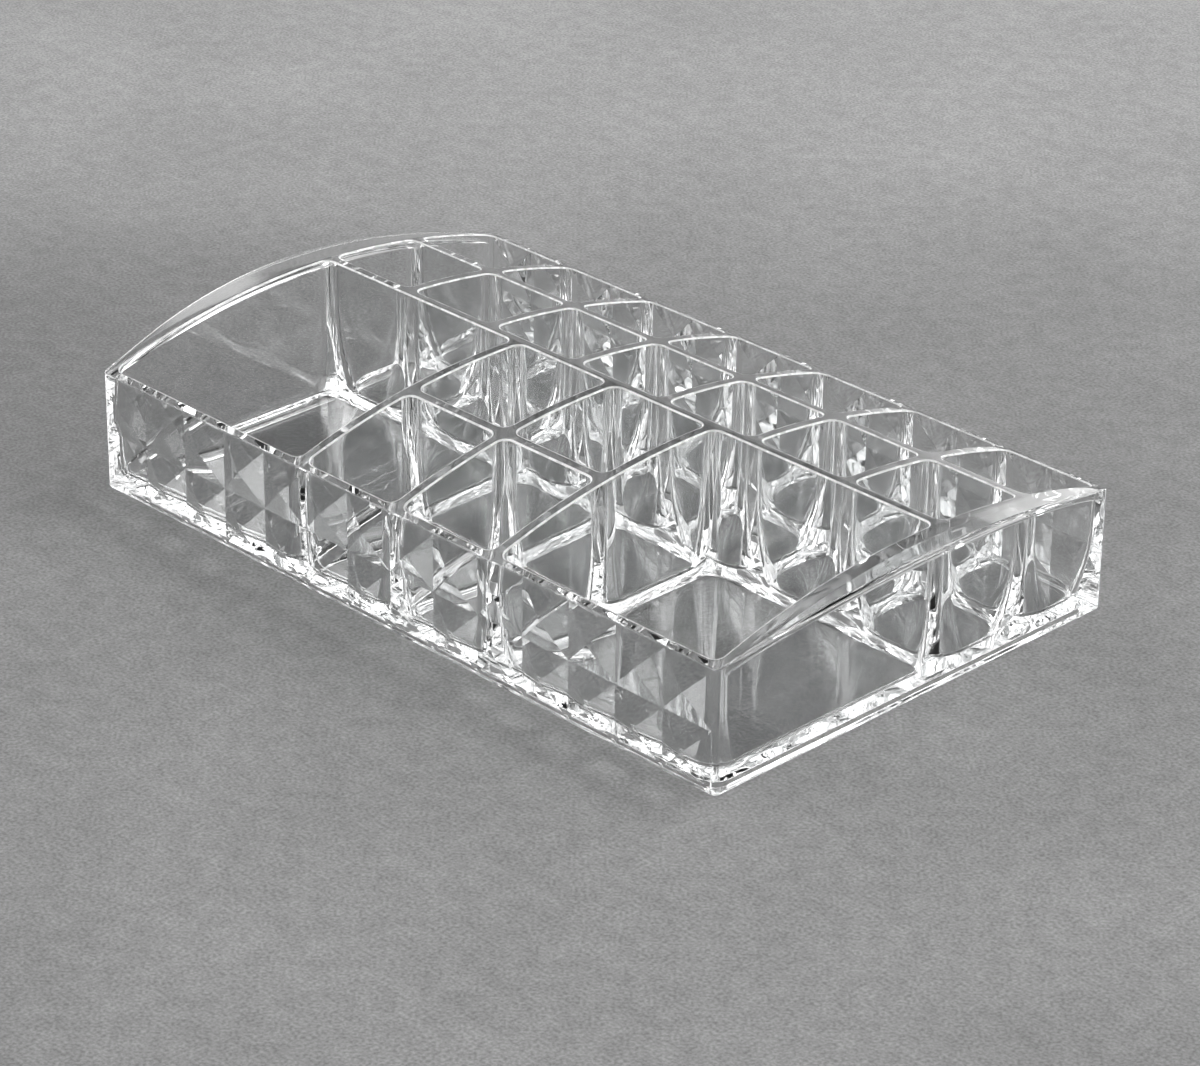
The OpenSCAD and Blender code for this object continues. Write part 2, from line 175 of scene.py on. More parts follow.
class TraySizes(bpy.types.PropertyGroup):
    """Sizes of the moulding that its boxes don't give."""

    corner_height: FloatProperty(
        name="Corner height", description="Height of the tray's four corners",
        default=0.050, min=0.03, max=0.08, subtype="DISTANCE", unit="LENGTH")
    end_wall: FloatProperty(
        name="End wall", description="Thickness of the end walls at the top",
        default=0.004, min=0.002, max=0.008, subtype="DISTANCE", unit="LENGTH")
    side_wall: FloatProperty(
        name="Faceted wall", description="Thickness of the front and back walls behind the facets",
        default=0.0036, min=0.002, max=0.008, subtype="DISTANCE", unit="LENGTH")
    divider: FloatProperty(
        name="Divider", description="Thickness of a divider at its top",
        default=0.0044, min=0.002, max=0.008, subtype="DISTANCE", unit="LENGTH")
    floor_top: FloatProperty(
        name="Floor surface", description="Height of the floor that the cells stand on",
        default=0.0074, min=0.004, max=0.012, subtype="DISTANCE", unit="LENGTH")
    draft: FloatProperty(
        name="Draft", description="How far a cell narrows from its top to its foot, on each side",
        default=0.0006, min=0.0001, max=0.002, subtype="DISTANCE", unit="LENGTH")
    cove: FloatProperty(
        name="Cove", description="Radius along the foot of walls and dividers",
        default=0.0032, min=0.0005, max=0.004, subtype="DISTANCE", unit="LENGTH")
    fillet: FloatProperty(
        name="Cell corner", description="Radius of the upright corners of the cells",
        default=0.0041, min=0.001, max=0.006, subtype="DISTANCE", unit="LENGTH")
    foot_corner: FloatProperty(
        name="Cell corner at the foot", description="Radius of the upright corners at the cells' feet",
        default=0.0085, min=0.001, max=0.012, subtype="DISTANCE", unit="LENGTH")
    small_foot: FloatProperty(
        name="Small cell's corner at the foot",
        description="Radius of the upright corners at the feet of the small rear cells",
        default=0.016, min=0.001, max=0.018, subtype="DISTANCE", unit="LENGTH")
    ledge: FloatProperty(
        name="Ledge", description="Width of the ledge on the rim under the floor's edge",
        default=0.0016, min=0.0005, max=0.003, subtype="DISTANCE", unit="LENGTH")
    edge: FloatProperty(
        name="Polished edge", description="Radius of the outer edges at the top and the foot",
        default=0.0005, min=0.0001, max=0.001, subtype="DISTANCE", unit="LENGTH")
    # The brims carry the white brim material, a painted highlight along the cells' top edges
    brim: FloatProperty(
        name="Cell brim", description="Radius of the scuffed top edges round the cells",
        default=0.0006, min=0.0001, max=0.0015, subtype="DISTANCE", unit="LENGTH")
    corner: FloatProperty(
        name="Outer corner", description="Radius of the tray's upright outer corners",
        default=0.0025, min=0.001, max=0.004, subtype="DISTANCE", unit="LENGTH")
    facet_depth: FloatProperty(
        name="Facet depth", description="How far a pyramid stands out of its wall",
        default=0.003, min=0.001, max=0.005, subtype="DISTANCE", unit="LENGTH")
    facet_foot: FloatProperty(
        name="Strip under the facets", description="Plain strip below the lowest row of pyramids",
        default=0.0013, min=0.0005, max=0.004, subtype="DISTANCE", unit="LENGTH")
    facet_head: FloatProperty(
        name="Strip over the facets", description="Plain strip above the highest row of pyramids",
        default=0.0008, min=0.0006, max=0.004, subtype="DISTANCE", unit="LENGTH")
    facet_columns: IntProperty(
        name="Facet columns", description="Pyramids along one long wall", default=14, min=6, max=24)
    facet_rows: IntProperty(
        name="Facet rows", description="Rows of pyramids", default=2, min=1, max=4)
    lip_depth: FloatProperty(
        name="Lip", description="Thickness of a handle lip at the wall",
        default=0.0046, min=0.003, max=0.008, subtype="DISTANCE", unit="LENGTH")
    lip_edge: FloatProperty(
        name="Lip edge", description="Thickness of a handle lip at its outer edge",
        default=0.0036, min=0.002, max=0.006, subtype="DISTANCE", unit="LENGTH")


class TrayFinish(bpy.types.PropertyGroup):
    """Colours and surface of the plastic and the stage."""

    tint: FloatVectorProperty(
        name="Plastic tint", description="Colour of the clear plastic",
        default=(0.88, 0.885, 0.885), min=0.0, max=1.0, size=3, subtype="COLOR")
    gloss: FloatProperty(
        name="Plastic roughness", description="Roughness of the polished surfaces",
        default=0.012, min=0.0, max=0.3, subtype="FACTOR")
    waves: FloatProperty(
        name="Waves", description="How close together the surface's shallow waves are",
        default=90, min=1, max=1000)
    wave_depth: FloatProperty(
        name="Wave depth", description="Height of the surface's shallow waves",
        default=0.00006, min=0.0, max=0.001, subtype="DISTANCE", unit="LENGTH")
    density: FloatProperty(
        name="Refraction index", description="How strongly the plastic bends light",
        default=1.49, min=1.3, max=1.7)
    # The less clear the brims are, the more of them is white diffuse colour, a painted highlight
    brim_clear: FloatProperty(
        name="Brim clearness", description="How clear the scuffed top edges of the cells still are",
        default=0.3, min=0.0, max=1.0, subtype="FACTOR")
    floor_colour: FloatVectorProperty(
        name="Floor colour", description="Colour of the paper under the tray",
        default=(0.28, 0.28, 0.28), min=0.0, max=1.0, size=3, subtype="COLOR")
    sky: FloatProperty(
        name="Tent light", description="Strength of the soft light round the table",
        default=5.0, min=0.0, max=20.0)
    softbox: FloatProperty(
        name="Softbox", description="Power of the lamp over the tray",
        default=10.0, min=0.0, max=100.0, subtype="POWER", unit="POWER")
    left_softbox: FloatProperty(
        name="Left softbox", description="Power of the small lamp over the left end",
        default=2.0, min=0.0, max=100.0, subtype="POWER", unit="POWER")


def sizes():
    return bpy.context.scene.tray_sizes


def finish():
    return bpy.context.scene.tray_finish


def middle(node, axis):
    """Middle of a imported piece's box along an axis."""
    low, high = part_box(node)
    return (low[axis] + high[axis]) / 2


def layout():
    """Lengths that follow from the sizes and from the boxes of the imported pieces."""
    s = sizes()
    wall_low, wall_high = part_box("front_facet_wall")
    lip_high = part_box("right_handle_lip")[1]
    half_l = wall_high[0]
    half_w = -wall_low[1] - s.facet_depth
    rise = lip_high[2] - s.corner_height
    reach = lip_high[0] - half_l
    arch_r = (half_w ** 2 + rise ** 2) / (2 * rise)
    lip_half = half_w - s.corner
    lip_r = (lip_half ** 2 + reach ** 2) / (2 * reach)
    return SimpleNamespace(
        half_l=half_l, half_w=half_w, crown=lip_high[2], reach=reach,
        arch_r=arch_r, arch_z=lip_high[2] - arch_r,
        lip_half=lip_half, lip_r=lip_r, lip_x=half_l + reach - lip_r,
        inner_x=half_l - s.end_wall, inner_y=half_w - s.side_wall,
        rim=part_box("floor_panel")[0][2],
        knee=s.floor_top + s.cove,
        rear_y=middle("rear_long_divider", 1), middle_y=middle("middle_long_divider", 1),
        front_y=middle("front_short_divider", 1),
        rear_x=[middle(node, 0) for node in REAR_CROSS],
        front_x=[middle(node, 0) for node in FRONT_CROSS],
        half_t=s.divider / 2,
        cap=CAP, rim_width=LIP_RIM)


def cells(p):
    """Plan of every cell as (low x, high x, low y, high y)."""
    t = p.half_t
    columns = [-p.inner_x - t] + p.rear_x + [p.inner_x + t]
    found = []
    for left, right in zip(columns, columns[1:]):
        found.append((left + t, right - t, p.middle_y + t, p.rear_y - t))
        found.append((left + t, right - t, p.rear_y + t, p.inner_y))
    first, centre, last = p.front_x
    found.append((-p.inner_x, first - t, -p.inner_y, p.middle_y - t))
    found.append((last + t, p.inner_x, -p.inner_y, p.middle_y - t))
    for left, right in ((first, centre), (centre, last)):
        found.append((left + t, right - t, -p.inner_y, p.front_y - t))
        found.append((left + t, right - t, p.front_y + t, p.middle_y - t))
    return found


def quarter(radius, count, hollow):
    """Steps (sideways, along) round a quarter circle; a hollow one starts along the wall."""
    turns = [math.pi / 2 * step / count for step in range(count + 1)]
    steps = []
    for a, b in zip(turns, turns[1:]):
        sine, cosine = math.sin(b) - math.sin(a), math.cos(a) - math.cos(b)
        steps.append((radius * cosine, radius * sine) if hollow else (radius * sine, radius * cosine))
    return steps


def sink(bm, plan, level, radius, steps, down, corner_radii=(), scuffed=0):
    """Presses a round-cornered hollow into the plastic, ring by ring; the first ones get the brim
    material, whose white is a painted highlight.
    """
    x0, x1, y0, y1 = plan
    corners = [bm.verts.new((x, y, level)) for x, y in ((x0, y0), (x1, y0), (x1, y1), (x0, y1))]
    before = set(bm.faces)
    face = bm.faces.new(corners if down else corners[::-1])
    bmesh.ops.bevel(
        bm, geom=corners, offset=radius, offset_type="OFFSET", segments=CELL_CORNER_STEPS,
        profile=0.5, affect="VERTICES", material=-1, clamp_overlap=False)
    face = next(f for f in bm.faces if f not in before)
    middle_x, middle_y = (x0 + x1) / 2, (y0 + y1) / 2
    turns = []
    for v in face.verts:
        arc_x = x0 + radius if v.co.x < middle_x else x1 - radius
        arc_y = y0 + radius if v.co.y < middle_y else y1 - radius
        turns.append(((v.co.x - arc_x) / radius, (v.co.y - arc_y) / radius))
    inward = 0
    for number, (sideways, along) in enumerate(steps):
        ring = bmesh.ops.inset_region(
            bm, faces=[face], thickness=sideways, depth=-along, use_even_offset=True,
            use_boundary=True)["faces"]
        if number < scuffed:
            for side in ring:
                side.material_index = BRIM
        inward += sideways
        if number >= len(corner_radii) or corner_radii[number] is None:
            continue
        wide = corner_radii[number]
        for v, (turn_x, turn_y) in zip(face.verts, turns):
            side_x = -1 if v.co.x < middle_x else 1
            side_y = -1 if v.co.y < middle_y else 1
            v.co.x = (x0 if side_x < 0 else x1) - side_x * (inward + wide) + wide * turn_x
            v.co.y = (y0 if side_y < 0 else y1) - side_y * (inward + wide) + wide * turn_y


def facing(bm, axis, sign, test):
    """Faces that look along an axis and whose middle passes a test."""
    return [f for f in bm.faces if f.normal[axis] * sign > FLAT and test(f.calc_center_median())]


def level_edges(bm, level):
    """Open edges that lie at a level."""
    return [e for e in bm.edges if e.is_boundary and all(abs(v.co.z - level) < TINY for v in e.verts)]


def cut(bm, geom, point, normal, clear=False):
    """Cuts along a plane, clears what is beyond it if asked to, and gives the new edges."""
    done = bmesh.ops.bisect_plane(
        bm, geom=geom, dist=HAIR, plane_co=point, plane_no=normal, clear_outer=clear)
    return [e for e in done["geom_cut"] if isinstance(e, bmesh.types.BMEdge)]


def everything(bm):
    """All points, edges and faces, for an operator that cuts."""
    return bm.verts[:] + bm.edges[:] + bm.faces[:]


def round_edges(bm, edges, radius, steps, clamp=True):
    """Rounds edges to a radius in a number of steps."""
    bmesh.ops.bevel(
        bm, geom=edges, offset=radius, offset_type="OFFSET", segments=steps, profile=0.5,
        affect="EDGES", material=-1, clamp_overlap=clamp)


def around(faces):
    """The faces with their edges and corners, each once, for an operator that cuts."""
    edges = list(dict.fromkeys(e for f in faces for e in f.edges))
    corners = list(dict.fromkeys(v for e in edges for v in e.verts))
    return faces + edges + corners


def flat_height(p, height):
    """Height in the flat moulding of a point at the long walls' outer faces."""
    drop = p.crown - (p.arch_z + math.sqrt(p.arch_r ** 2 - p.half_w ** 2))
    if height > p.crown - p.cap - drop:
        return height + drop
    span = p.crown - p.cap - p.knee
    return p.knee + (height - p.knee) * span / (span - drop) if height > p.knee else height


def outer_shell(bm, s, p):
    """Outside of the tray with square tops, its handle flanges and the grid of the facets."""
    low_top = p.crown - s.lip_depth
    block = bmesh.ops.create_cube(bm, size=1)["verts"]
    bmesh.ops.scale(bm, vec=(2 * p.half_l, 2 * p.half_w, p.crown), verts=block)
    bmesh.ops.translate(bm, vec=(0, 0, p.crown / 2), verts=block)
    upright = [e for e in bm.edges if abs(e.verts[0].co.z - e.verts[1].co.z) > TINY]
    round_edges(bm, upright, s.corner, OUTER_CORNER_STEPS, clamp=False)
    bm.normal_update()
    for side in (-1, 1):
        flange(bm, s, p, side, low_top)
    outer_x = p.half_l + p.reach
    rims = [e for e in bm.edges if all(abs(abs(v.co.x) - outer_x) < TINY for v in e.verts)
            and abs(e.verts[0].co.y - e.verts[1].co.y) > TINY]
    round_edges(bm, rims, s.lip_edge / 2 * LIP_ROUND_SHARE, LIP_STEPS)
    bm.normal_update()
    top_edges = [e for e in bm.edges if all(
        abs(v.co.z - p.crown) < TINY and abs(v.co.y) > p.lip_half - TINY
        and abs(v.co.x) < p.half_l + TINY for v in e.verts)
        and not all(abs(abs(v.co.x) - p.half_l) < TINY for v in e.verts)]
    round_edges(bm, top_edges, s.edge, TOP_EDGE_STEPS)
    foot_edges = [e for e in bm.edges if all(abs(v.co.z) < TINY for v in e.verts)]
    round_edges(bm, foot_edges, s.edge, FOOT_EDGE_STEPS)
    bm.normal_update()
    facet_grid(bm, s, p)
    bm.normal_update()
    open_faces = [f for f in bm.faces if abs(f.normal.z) > FLAT and all(
        abs(v.co.z - p.crown) < TINY or abs(v.co.z) < TINY for v in f.verts)]
    bmesh.ops.delete(bm, geom=open_faces, context="FACES_ONLY")
    inner = [e for e in bm.edges if not e.link_faces]
    bmesh.ops.delete(bm, geom=inner, context="EDGES")


def flange(bm, s, p, side, low_top):
    """Draws the band at the top of an end wall out into a lip with a thinner outer edge."""
    cut(bm, around(facing(bm, 0, side, lambda c: True)), (0, 0, low_top), (0, 0, 1))
    bm.normal_update()
    band = facing(bm, 0, side, lambda c: c.z > low_top)
    drawn = bmesh.ops.extrude_face_region(bm, geom=band)["geom"]
    bmesh.ops.delete(bm, geom=band, context="FACES_ONLY")
    verts = [v for v in drawn if isinstance(v, bmesh.types.BMVert)]
    bmesh.ops.translate(bm, vec=(side * p.reach, 0, 0), verts=verts)
    thinner = s.lip_edge / s.lip_depth
    centre = p.crown - s.lip_depth / 2
    for v in verts:
        v.co.z = centre + (v.co.z - centre) * thinner


def facet_grid(bm, s, p):
    """Cuts the outer faces of the long walls into the squares that become pyramids."""
    tag = bm.faces.layers.int.new(FACET_TAG)
    half_field = p.half_l - s.corner
    width = 2 * half_field / s.facet_columns
    head = s.corner_height - s.facet_head
    height = (head - s.facet_foot) / s.facet_rows
    levels = [flat_height(p, s.facet_foot + row * height) for row in range(s.facet_rows + 1)]
    for side in (-1, 1):
        for column in range(1, s.facet_columns):
            cut(bm, around(outer_faces(bm, p, side)), (-half_field + column * width, 0, 0), (1, 0, 0))
        for level in levels:
            cut(bm, around(outer_faces(bm, p, side)), (0, 0, level), (0, 0, 1))
        for face in outer_faces(bm, p, side):
            if levels[0] < face.calc_center_median().z < levels[-1]:
                face[tag] = 1


def outer_faces(bm, p, side):
    """Faces on the outside of one long wall."""
    return facing(bm, 1, side, lambda c: abs(c.y) > p.half_w - TINY)


def store_normals(bm):
    """Keeps each corner's normal, weighted by area, so that the cuts between pieces don't show."""
    bm.normal_update()
    layer = bm.loops.layers.float_vector.new(NORMALS)
    limit = math.cos(SMOOTH_ANGLE)
    weighted = {f: f.normal * f.calc_area() for f in bm.faces}
    for face in bm.faces:
        for loop in face.loops:
            total = Vector()
            for other in loop.vert.link_faces:
                if other.normal.dot(face.normal) > limit:
                    total += weighted[other]
            loop[layer] = total.normalized()


def flat_moulding():
    """The whole tray as one closed moulding with level tops, kept as a mesh."""
    if FLAT_NAME in bpy.data.meshes:
        return bpy.data.meshes[FLAT_NAME]
    s, p = sizes(), layout()
    bm = bmesh.new()
    outer_shell(bm, s, p)
    rounded = quarter(s.brim, BRIM_STEPS, False)
    tall = p.crown - s.brim - p.knee
    wall = [(s.draft * share, tall * share) for share in WALL_STEPS]
    coved = quarter(s.cove, COVE_STEPS, True)
    for x0, x1, y0, y1 in cells(p):
        e = s.brim
        foot = s.small_foot if y0 > p.middle_y else s.foot_corner
        grown = [s.fillet + (foot - s.fillet) * share for share in CORNER_GROWTH]
        narrowed = [
            foot - sum(sideways for sideways, along in coved[:number + 1])
            for number in range(COVE_STEPS)]
        radii = [None] * len(rounded) + grown + narrowed
        sink(bm, (x0 - e, x1 + e, y0 - e, y1 + e), p.crown, s.fillet + e,
             rounded + wall + coved, True, radii, len(rounded))
    foot_x, foot_y = (inner - s.draft - s.ledge for inner in (p.inner_x, p.inner_y))
    cove = s.cove * UNDERSIDE_COVE_SHARE
    wall = [(s.draft * UNDERSIDE_DRAFT_SHARE, p.rim - cove - s.edge)]
    sink(bm, (-foot_x, foot_x, -foot_y, foot_y), 0, s.fillet,
         quarter(s.edge, FOOT_EDGE_STEPS, False) + wall + quarter(cove, UNDERSIDE_COVE_STEPS, True),
         False)
    for level, way in ((p.crown, 1), (0, -1)):
        bmesh.ops.triangle_fill(
            bm, edges=level_edges(bm, level), use_beauty=True, normal=(0, 0, way))
    loose = [e for e in bm.edges if not e.is_manifold]
    if loose:
        raise RuntimeError("the moulding is open at %d edges" % len(loose))
    bmesh.ops.recalc_face_normals(bm, faces=bm.faces[:])
    store_normals(bm)
    mesh = bpy.data.meshes.new(FLAT_NAME)
    bm.to_mesh(mesh)
    bm.free()
    return mesh


def bent(p, point):
    """Place of a point of the flat moulding once the tops are arched and the lips curved."""
    x, y, z = point
    drop = p.crown - p.arch_z - math.sqrt(p.arch_r ** 2 - min(abs(y), p.half_w) ** 2)
    span = p.crown - p.cap - p.knee
    if z > p.crown - p.cap:
        z -= drop
    elif z > p.knee:
        z = p.knee + (z - p.knee) * (span - drop) / span
    over = abs(x) - p.half_l
    if over > HAIR:
        out = max(0.0, p.lip_x + math.sqrt(p.lip_r ** 2 - y * y) - p.half_l)
        rim = min(p.rim_width, LIP_RIM_SHARE * out)
        inner = p.reach - p.rim_width
        if over < inner:
            over *= (out - rim) / inner
        else:
            over = out - rim + (over - inner) * rim / p.rim_width
        x = math.copysign(p.half_l + over, x)
    return Vector((x, y, z))


def bend_piece(bm, p):
    """Moves every point to its bent place and turns the stored normals with it."""
    layer = bm.loops.layers.float_vector[NORMALS]
    for vert in bm.verts:
        here = bent(p, vert.co)
        for loop in vert.link_loops:
            normal = Vector(loop[layer])
            if normal.length < NO_NORMAL:
                continue
            normal.normalize()
            side = normal.orthogonal().normalized()
            other = normal.cross(side)
            a = bent(p, vert.co + side * STEP) - here
            b = bent(p, vert.co + other * STEP) - here
            turned = a.cross(b)
            if turned.length > STEP * STEP * FOLDED:
                loop[layer] = turned.normalized()
    for vert in bm.verts:
        vert.co = bent(p, vert.co)
    bmesh.ops.remove_doubles(bm, verts=bm.verts[:], dist=TINY)
    bmesh.ops.dissolve_degenerate(bm, dist=HAIR, edges=bm.edges[:])


def raise_facets(bm, s):
    """Raises each marked square to a pyramid with sharp edges."""
    tag = bm.faces.layers.int[FACET_TAG]
    layer = bm.loops.layers.float_vector[NORMALS]
    squares = [f for f in bm.faces if f[tag] and abs(f.normal.y) > FLAT]
    done = bmesh.ops.poke(bm, faces=squares, offset=s.facet_depth, center_mode="BOUNDS")
    for face in done["faces"]:
        for loop in face.loops:
            loop[layer] = (0, 0, 0)


def close_cut(bm, edges, normal):
    """Closes an open flat cut with faces of the invisible seam."""
    done = bmesh.ops.triangle_fill(bm, edges=edges, use_beauty=True, normal=normal)
    for face in done["geom"]:
        if isinstance(face, bmesh.types.BMFace):
            face.material_index = SEAM


def notch(bm, axis, low, high, level, above):
    """Takes out the half of a crossing that belongs to the other divider, and closes the cuts."""
    along = Vector()
    along[axis] = 1
    for bound in (low, high):
        cut(bm, everything(bm), along * bound, along)
    crossing = [f for f in bm.faces if low < f.calc_center_median()[axis] < high]
    cut(bm, around(crossing), (0, 0, level), (0, 0, 1))
    bmesh.ops.delete(bm, context="FACES", geom=[
        f for f in bm.faces if low < f.calc_center_median()[axis] < high
        and (f.calc_center_median().z > level) == above])
    for bound, sign in ((low, 1), (high, -1)):
        ends = [v for v in bm.verts if v.is_boundary and abs(v.co[axis] - bound) < TINY
                and abs(v.co.z - level) < TINY]
        if len(ends) != 2:
            raise RuntimeError("a lap has %d corners at one side" % len(ends))
        bm.edges.new(ends)
        side = [e for e in bm.edges if len(e.link_faces) < 2
                and all(abs(v.co[axis] - bound) < TINY for v in e.verts)]
        close_cut(bm, side, along * sign)
    shelf = [e for e in bm.edges if len(e.link_faces) < 2
             and all(abs(v.co.z - level) < TINY for v in e.verts)]
    close_cut(bm, shelf, Vector((0, 0, 1 if above else -1)))


def piece(node, low, high, laps=()):
    """Cuts one node's share out of the moulding, closes the cuts, bends it and adds it to the scene."""
    s, p = sizes(), layout()
    bm = bmesh.new()
    bm.from_mesh(flat_moulding())
    for axis in range(3):
        for bound, sign in ((low[axis], -1), (high[axis], 1)):
            if bound is None:
                continue
            point, normal = Vector(), Vector()
            point[axis] = bound
            normal[axis] = sign
            edges = cut(bm, everything(bm), point, normal, clear=True)
            edges = [e for e in edges if e.is_boundary]
            if edges:
                close_cut(bm, edges, normal)
    for axis, start, end, above in laps:
        notch(bm, axis, start, end, (p.crown + s.floor_top) * LAP_SHARE, above)
    slices = int(max(abs(v.co.y) for v in bm.verts) / SLICE)
    for number in range(-slices, slices + 1):
        cut(bm, everything(bm), (0, number * SLICE, 0), (0, 1, 0))
    bend_piece(bm, p)
    raise_facets(bm, s)
    bm.normal_update()
    layer = bm.loops.layers.float_vector[NORMALS]
    normals = []
    for face in bm.faces:
        face.smooth = True
        for loop in face.loops:
            kept = Vector(loop[layer])
            normals.append(kept.normalized() if kept.length > NO_NORMAL else face.normal.copy())
    mesh = bpy.data.meshes.new(node + "_clear")
    bm.to_mesh(mesh)
    bm.free()
    mesh.normals_split_custom_set(normals)
    for material in (clear_plastic(), bonded_seam(), painted_highlight_brim()):
        mesh.materials.append(material)
    obj = bpy.data.objects.new(node + "_clear", mesh)
    bpy.context.scene.collection.objects.link(obj)
    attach(obj, "root")
    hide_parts(node)


def zones():
    """Levels and lines along which the moulding is parted into its pieces."""
    s, p = sizes(), layout()
    bulge = s.small_foot - (s.small_foot - s.cove) * math.cos(math.pi / 4)
    blend = s.draft + bulge + CUT_MARGIN
    return SimpleNamespace(
        x=p.inner_x - blend, y=p.inner_y - blend, half=p.half_t + blend,
        floor=s.floor_top + FLOOR_MARGIN, lip=p.crown - s.lip_depth, p=p)


def feed(tree, value, socket):
    """Links a socket to the one before it, or sets a plain value on it."""
    if isinstance(value, bpy.types.NodeSocket):
        tree.links.new(value, socket)
    else:
        socket.default_value = value


def noise(tree, coords, scale, detail):
    """Noise texture on the given coordinates."""
    node = tree.nodes.new("ShaderNodeTexNoise")
    tree.links.new(coords, node.inputs["Vector"])
    feed(tree, scale, node.inputs["Scale"])
    node.inputs["Detail"].default_value = detail
    return node


def spread(tree, value, low, high, first, last, smooth=False):
    """Turns the range from low to high into the one from first to last."""
    node = tree.nodes.new("ShaderNodeMapRange")
    if smooth:
        node.interpolation_type = "SMOOTHSTEP"
    tree.links.new(value, node.inputs["Value"])
    for name, end in (("From Min", low), ("From Max", high), ("To Min", first), ("To Max", last)):
        feed(tree, end, node.inputs[name])
    return node.outputs["Result"]


def product(tree, a, b):
    """Two values multiplied."""
    node = tree.nodes.new("ShaderNodeMath")
    node.operation = "MULTIPLY"
    feed(tree, a, node.inputs[0])
    feed(tree, b, node.inputs[1])
    return node.outputs["Value"]


def waviness():
    """Node group with the shallow waves and fine rub marks of a moulded surface, in metres."""
    if "moulded_surface" in bpy.data.node_groups:
        return bpy.data.node_groups["moulded_surface"]
    tree = bpy.data.node_groups.new("moulded_surface", "ShaderNodeTree")
    for name, value in (("Waves", 90.0), ("Stretch", 1.0), ("Gloss", 0.01), ("Rubbed", 0.03)):
        socket = tree.interface.new_socket(name=name, in_out="INPUT", socket_type="NodeSocketFloat")
        socket.default_value = value
    for name in ("Height", "Roughness"):
        tree.interface.new_socket(name=name, in_out="OUTPUT", socket_type="NodeSocketFloat")
    nodes, links = tree.nodes, tree.links
    start, end = nodes.new("NodeGroupInput"), nodes.new("NodeGroupOutput")
    coords = nodes.new("ShaderNodeTexCoord").outputs["Object"]
    combine = nodes.new("ShaderNodeCombineXYZ")
    combine.inputs["X"].default_value = 1
    combine.inputs["Y"].default_value = 1
    links.new(start.outputs["Stretch"], combine.inputs["Z"])
    stretch = nodes.new("ShaderNodeVectorMath")
    stretch.operation = "MULTIPLY"
    links.new(coords, stretch.inputs[0])
    links.new(combine.outputs["Vector"], stretch.inputs[1])
    swell = noise(tree, stretch.outputs["Vector"], start.outputs["Waves"], WAVE_DETAIL)
    swell.inputs["Roughness"].default_value = WAVE_ROUGHNESS
    links.new(swell.outputs["Fac"], end.inputs["Height"])
    rub = noise(tree, coords, *RUB_NOISE)
    rubbed = spread(
        tree, rub.outputs["Fac"], *RUB_RANGE, start.outputs["Gloss"], start.outputs["Rubbed"])
    links.new(rubbed, end.inputs["Roughness"])
    return tree


def clear_plastic():
    """Clear plastic whose walls bend light through the shallow waves of the mould."""
    if "tray_clear" in bpy.data.materials:
        return bpy.data.materials["tray_clear"]
    f = finish()
    material = bpy.data.materials.new("tray_clear")
    material.use_nodes = True
    tree = material.node_tree
    shader = tree.nodes["Principled BSDF"]
    shader.inputs["Base Color"].default_value = (*f.tint, 1)
    shader.inputs["Metallic"].default_value = 0
    shader.inputs["Transmission Weight"].default_value = 1
    shader.inputs["IOR"].default_value = f.density
    surface = tree.nodes.new("ShaderNodeGroup")
    surface.node_tree = waviness()
    surface.inputs["Waves"].default_value = f.waves
    surface.inputs["Stretch"].default_value = WAVE_STRETCH
    surface.inputs["Gloss"].default_value = 0
    surface.inputs["Rubbed"].default_value = f.gloss
    bump = tree.nodes.new("ShaderNodeBump")
    bump.inputs["Strength"].default_value = 1
    bump.inputs["Distance"].default_value = f.wave_depth
    tree.links.new(surface.outputs["Height"], bump.inputs["Height"])
    tree.links.new(bump.outputs["Normal"], shader.inputs["Normal"])
    tree.links.new(surface.outputs["Roughness"], shader.inputs["Roughness"])
    return material


def bonded_seam():
    """Seam between two pieces of the moulding, which a good bond keeps out of sight."""
    if "tray_seam" in bpy.data.materials:
        return bpy.data.materials["tray_seam"]
    material = bpy.data.materials.new("tray_seam")
    material.use_nodes = True
    shader = material.node_tree.nodes["Principled BSDF"]
    shader.inputs["Alpha"].default_value = 0
    return material


def painted_highlight_brim():
    """The same plastic turned partly white and diffuse at the top edges: a painted highlight standing
    in for the light the edges catch, with a wear-like mottle of tone and roughness.
    """
    if "tray_brim_painted_highlight" in bpy.data.materials:
        return bpy.data.materials["tray_brim_painted_highlight"]
    f = finish()
    material = bpy.data.materials.new("tray_brim_painted_highlight")
    material.use_nodes = True
    tree = material.node_tree
    shader = tree.nodes["Principled BSDF"]
    shader.inputs["Metallic"].default_value = 0
    shader.inputs["Transmission Weight"].default_value = f.brim_clear
    shader.inputs["IOR"].default_value = f.density
    coords = tree.nodes.new("ShaderNodeTexCoord").outputs["Object"]
    wear_and_highlight = noise(tree, coords, *WEAR_AND_HIGHLIGHT_NOISE).outputs["Fac"]
    for socket, ends in (("Base Color", BRIM_HIGHLIGHT_TONE), ("Roughness", BRIM_ROUGHNESS)):
        tree.links.new(spread(tree, wear_and_highlight, *WEAR_AND_HIGHLIGHT_RANGE, *ends), shader.inputs[socket])
    return material


class TRAY_OT_floor_panel(bpy.types.Operator):
    """Builds the floor panel under all the cells"""

    bl_idname = "tray.floor_panel"
    bl_label = "Floor panel"

    def execute(self, context):
        z = zones()
        piece("floor_panel", (-z.x, -z.y, None), (z.x, z.y, z.floor))
        return {"FINISHED"}


class TRAY_OT_facet_walls(bpy.types.Operator):
    """Builds the front and back walls with their pyramids"""

    bl_idname = "tray.facet_walls"
    bl_label = "Faceted walls"

    def execute(self, context):
        z = zones()
        piece("front_facet_wall", (None, None, None), (None, -z.y, None))
        piece("back_facet_wall", (None, z.y, None), (None, None, None))
        return {"FINISHED"}


